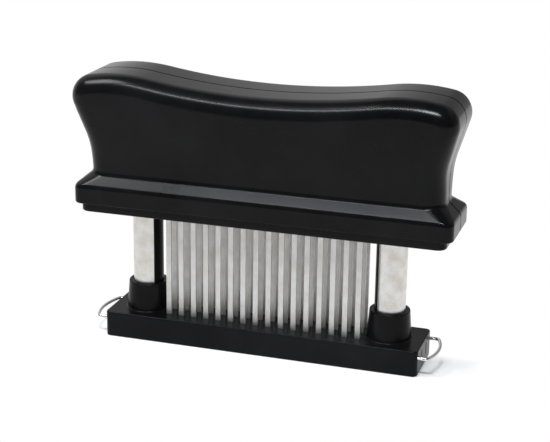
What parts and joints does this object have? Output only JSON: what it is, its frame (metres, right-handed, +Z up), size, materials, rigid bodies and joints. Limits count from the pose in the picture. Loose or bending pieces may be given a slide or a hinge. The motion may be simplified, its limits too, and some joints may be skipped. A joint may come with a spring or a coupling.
{
  "type": "meat tenderizer",
  "caption": "Hand-pressed meat tenderizer: a saddle-topped handle slides on two columns and drives rows of blades through a slotted base.",
  "frame": {"origin": "centre of the base's underside, which stands on the table", "axes": "+Z up, +X along the length to the right as seen from the front, the front faces -Y"},
  "size_m": [0.1778, 0.044, 0.1271],
  "materials": {
    "black_plastic": "satin moulded black",
    "bar_plastic": "matte moulded black",
    "bush_plastic": "smooth low-friction black",
    "sleeve_steel": "bright rolled stainless",
    "blade_steel": "polished stainless",
    "spring_steel": "drawn stainless wire",
    "plated_steel": "zinc plated"
  },
  "bodies": {
    "base": {"base_plate": "black_plastic", "column_core_left": "black_plastic", "column_core_right": "black_plastic", "column_sleeve_left": "sleeve_steel", "column_sleeve_right": "sleeve_steel", "stop_washer_left": "plated_steel", "stop_washer_right": "plated_steel", "stop_screws": "plated_steel", "return_spring_left": "spring_steel", "return_spring_right": "spring_steel"},
    "handle": {"handle_front_shell": "black_plastic", "handle_rear_shell": "black_plastic", "bottom_plate": "black_plastic", "guide_bush_left": "bush_plastic", "guide_bush_right": "bush_plastic", "blade_bar_front": "bar_plastic", "blade_bar_middle": "bar_plastic", "blade_bar_rear": "bar_plastic", "blades_front": "blade_steel", "blades_middle": "blade_steel", "blades_rear": "blade_steel", "shell_screws": "plated_steel", "plate_screws": "plated_steel"},
    "clip_left": {"clip_left": "spring_steel"},
    "clip_right": {"clip_right": "spring_steel"}
  },
  "joints": [
    {"name": "press", "type": "slide", "parent": "base", "child": "handle", "axis": [0, 0, -1], "range_m": [0, 0.034], "stiffness_N_per_m": 900, "springref_m": -0.012, "deforming": ["return_spring_left", "return_spring_right"]},
    {"name": "pull_clip_left", "type": "slide", "parent": "base", "child": "clip_left", "axis": [-1, 0, 0], "range_m": [0, 0.016]},
    {"name": "pull_clip_right", "type": "slide", "parent": "base", "child": "clip_right", "axis": [1, 0, 0], "range_m": [0, 0.016]}
  ]
}
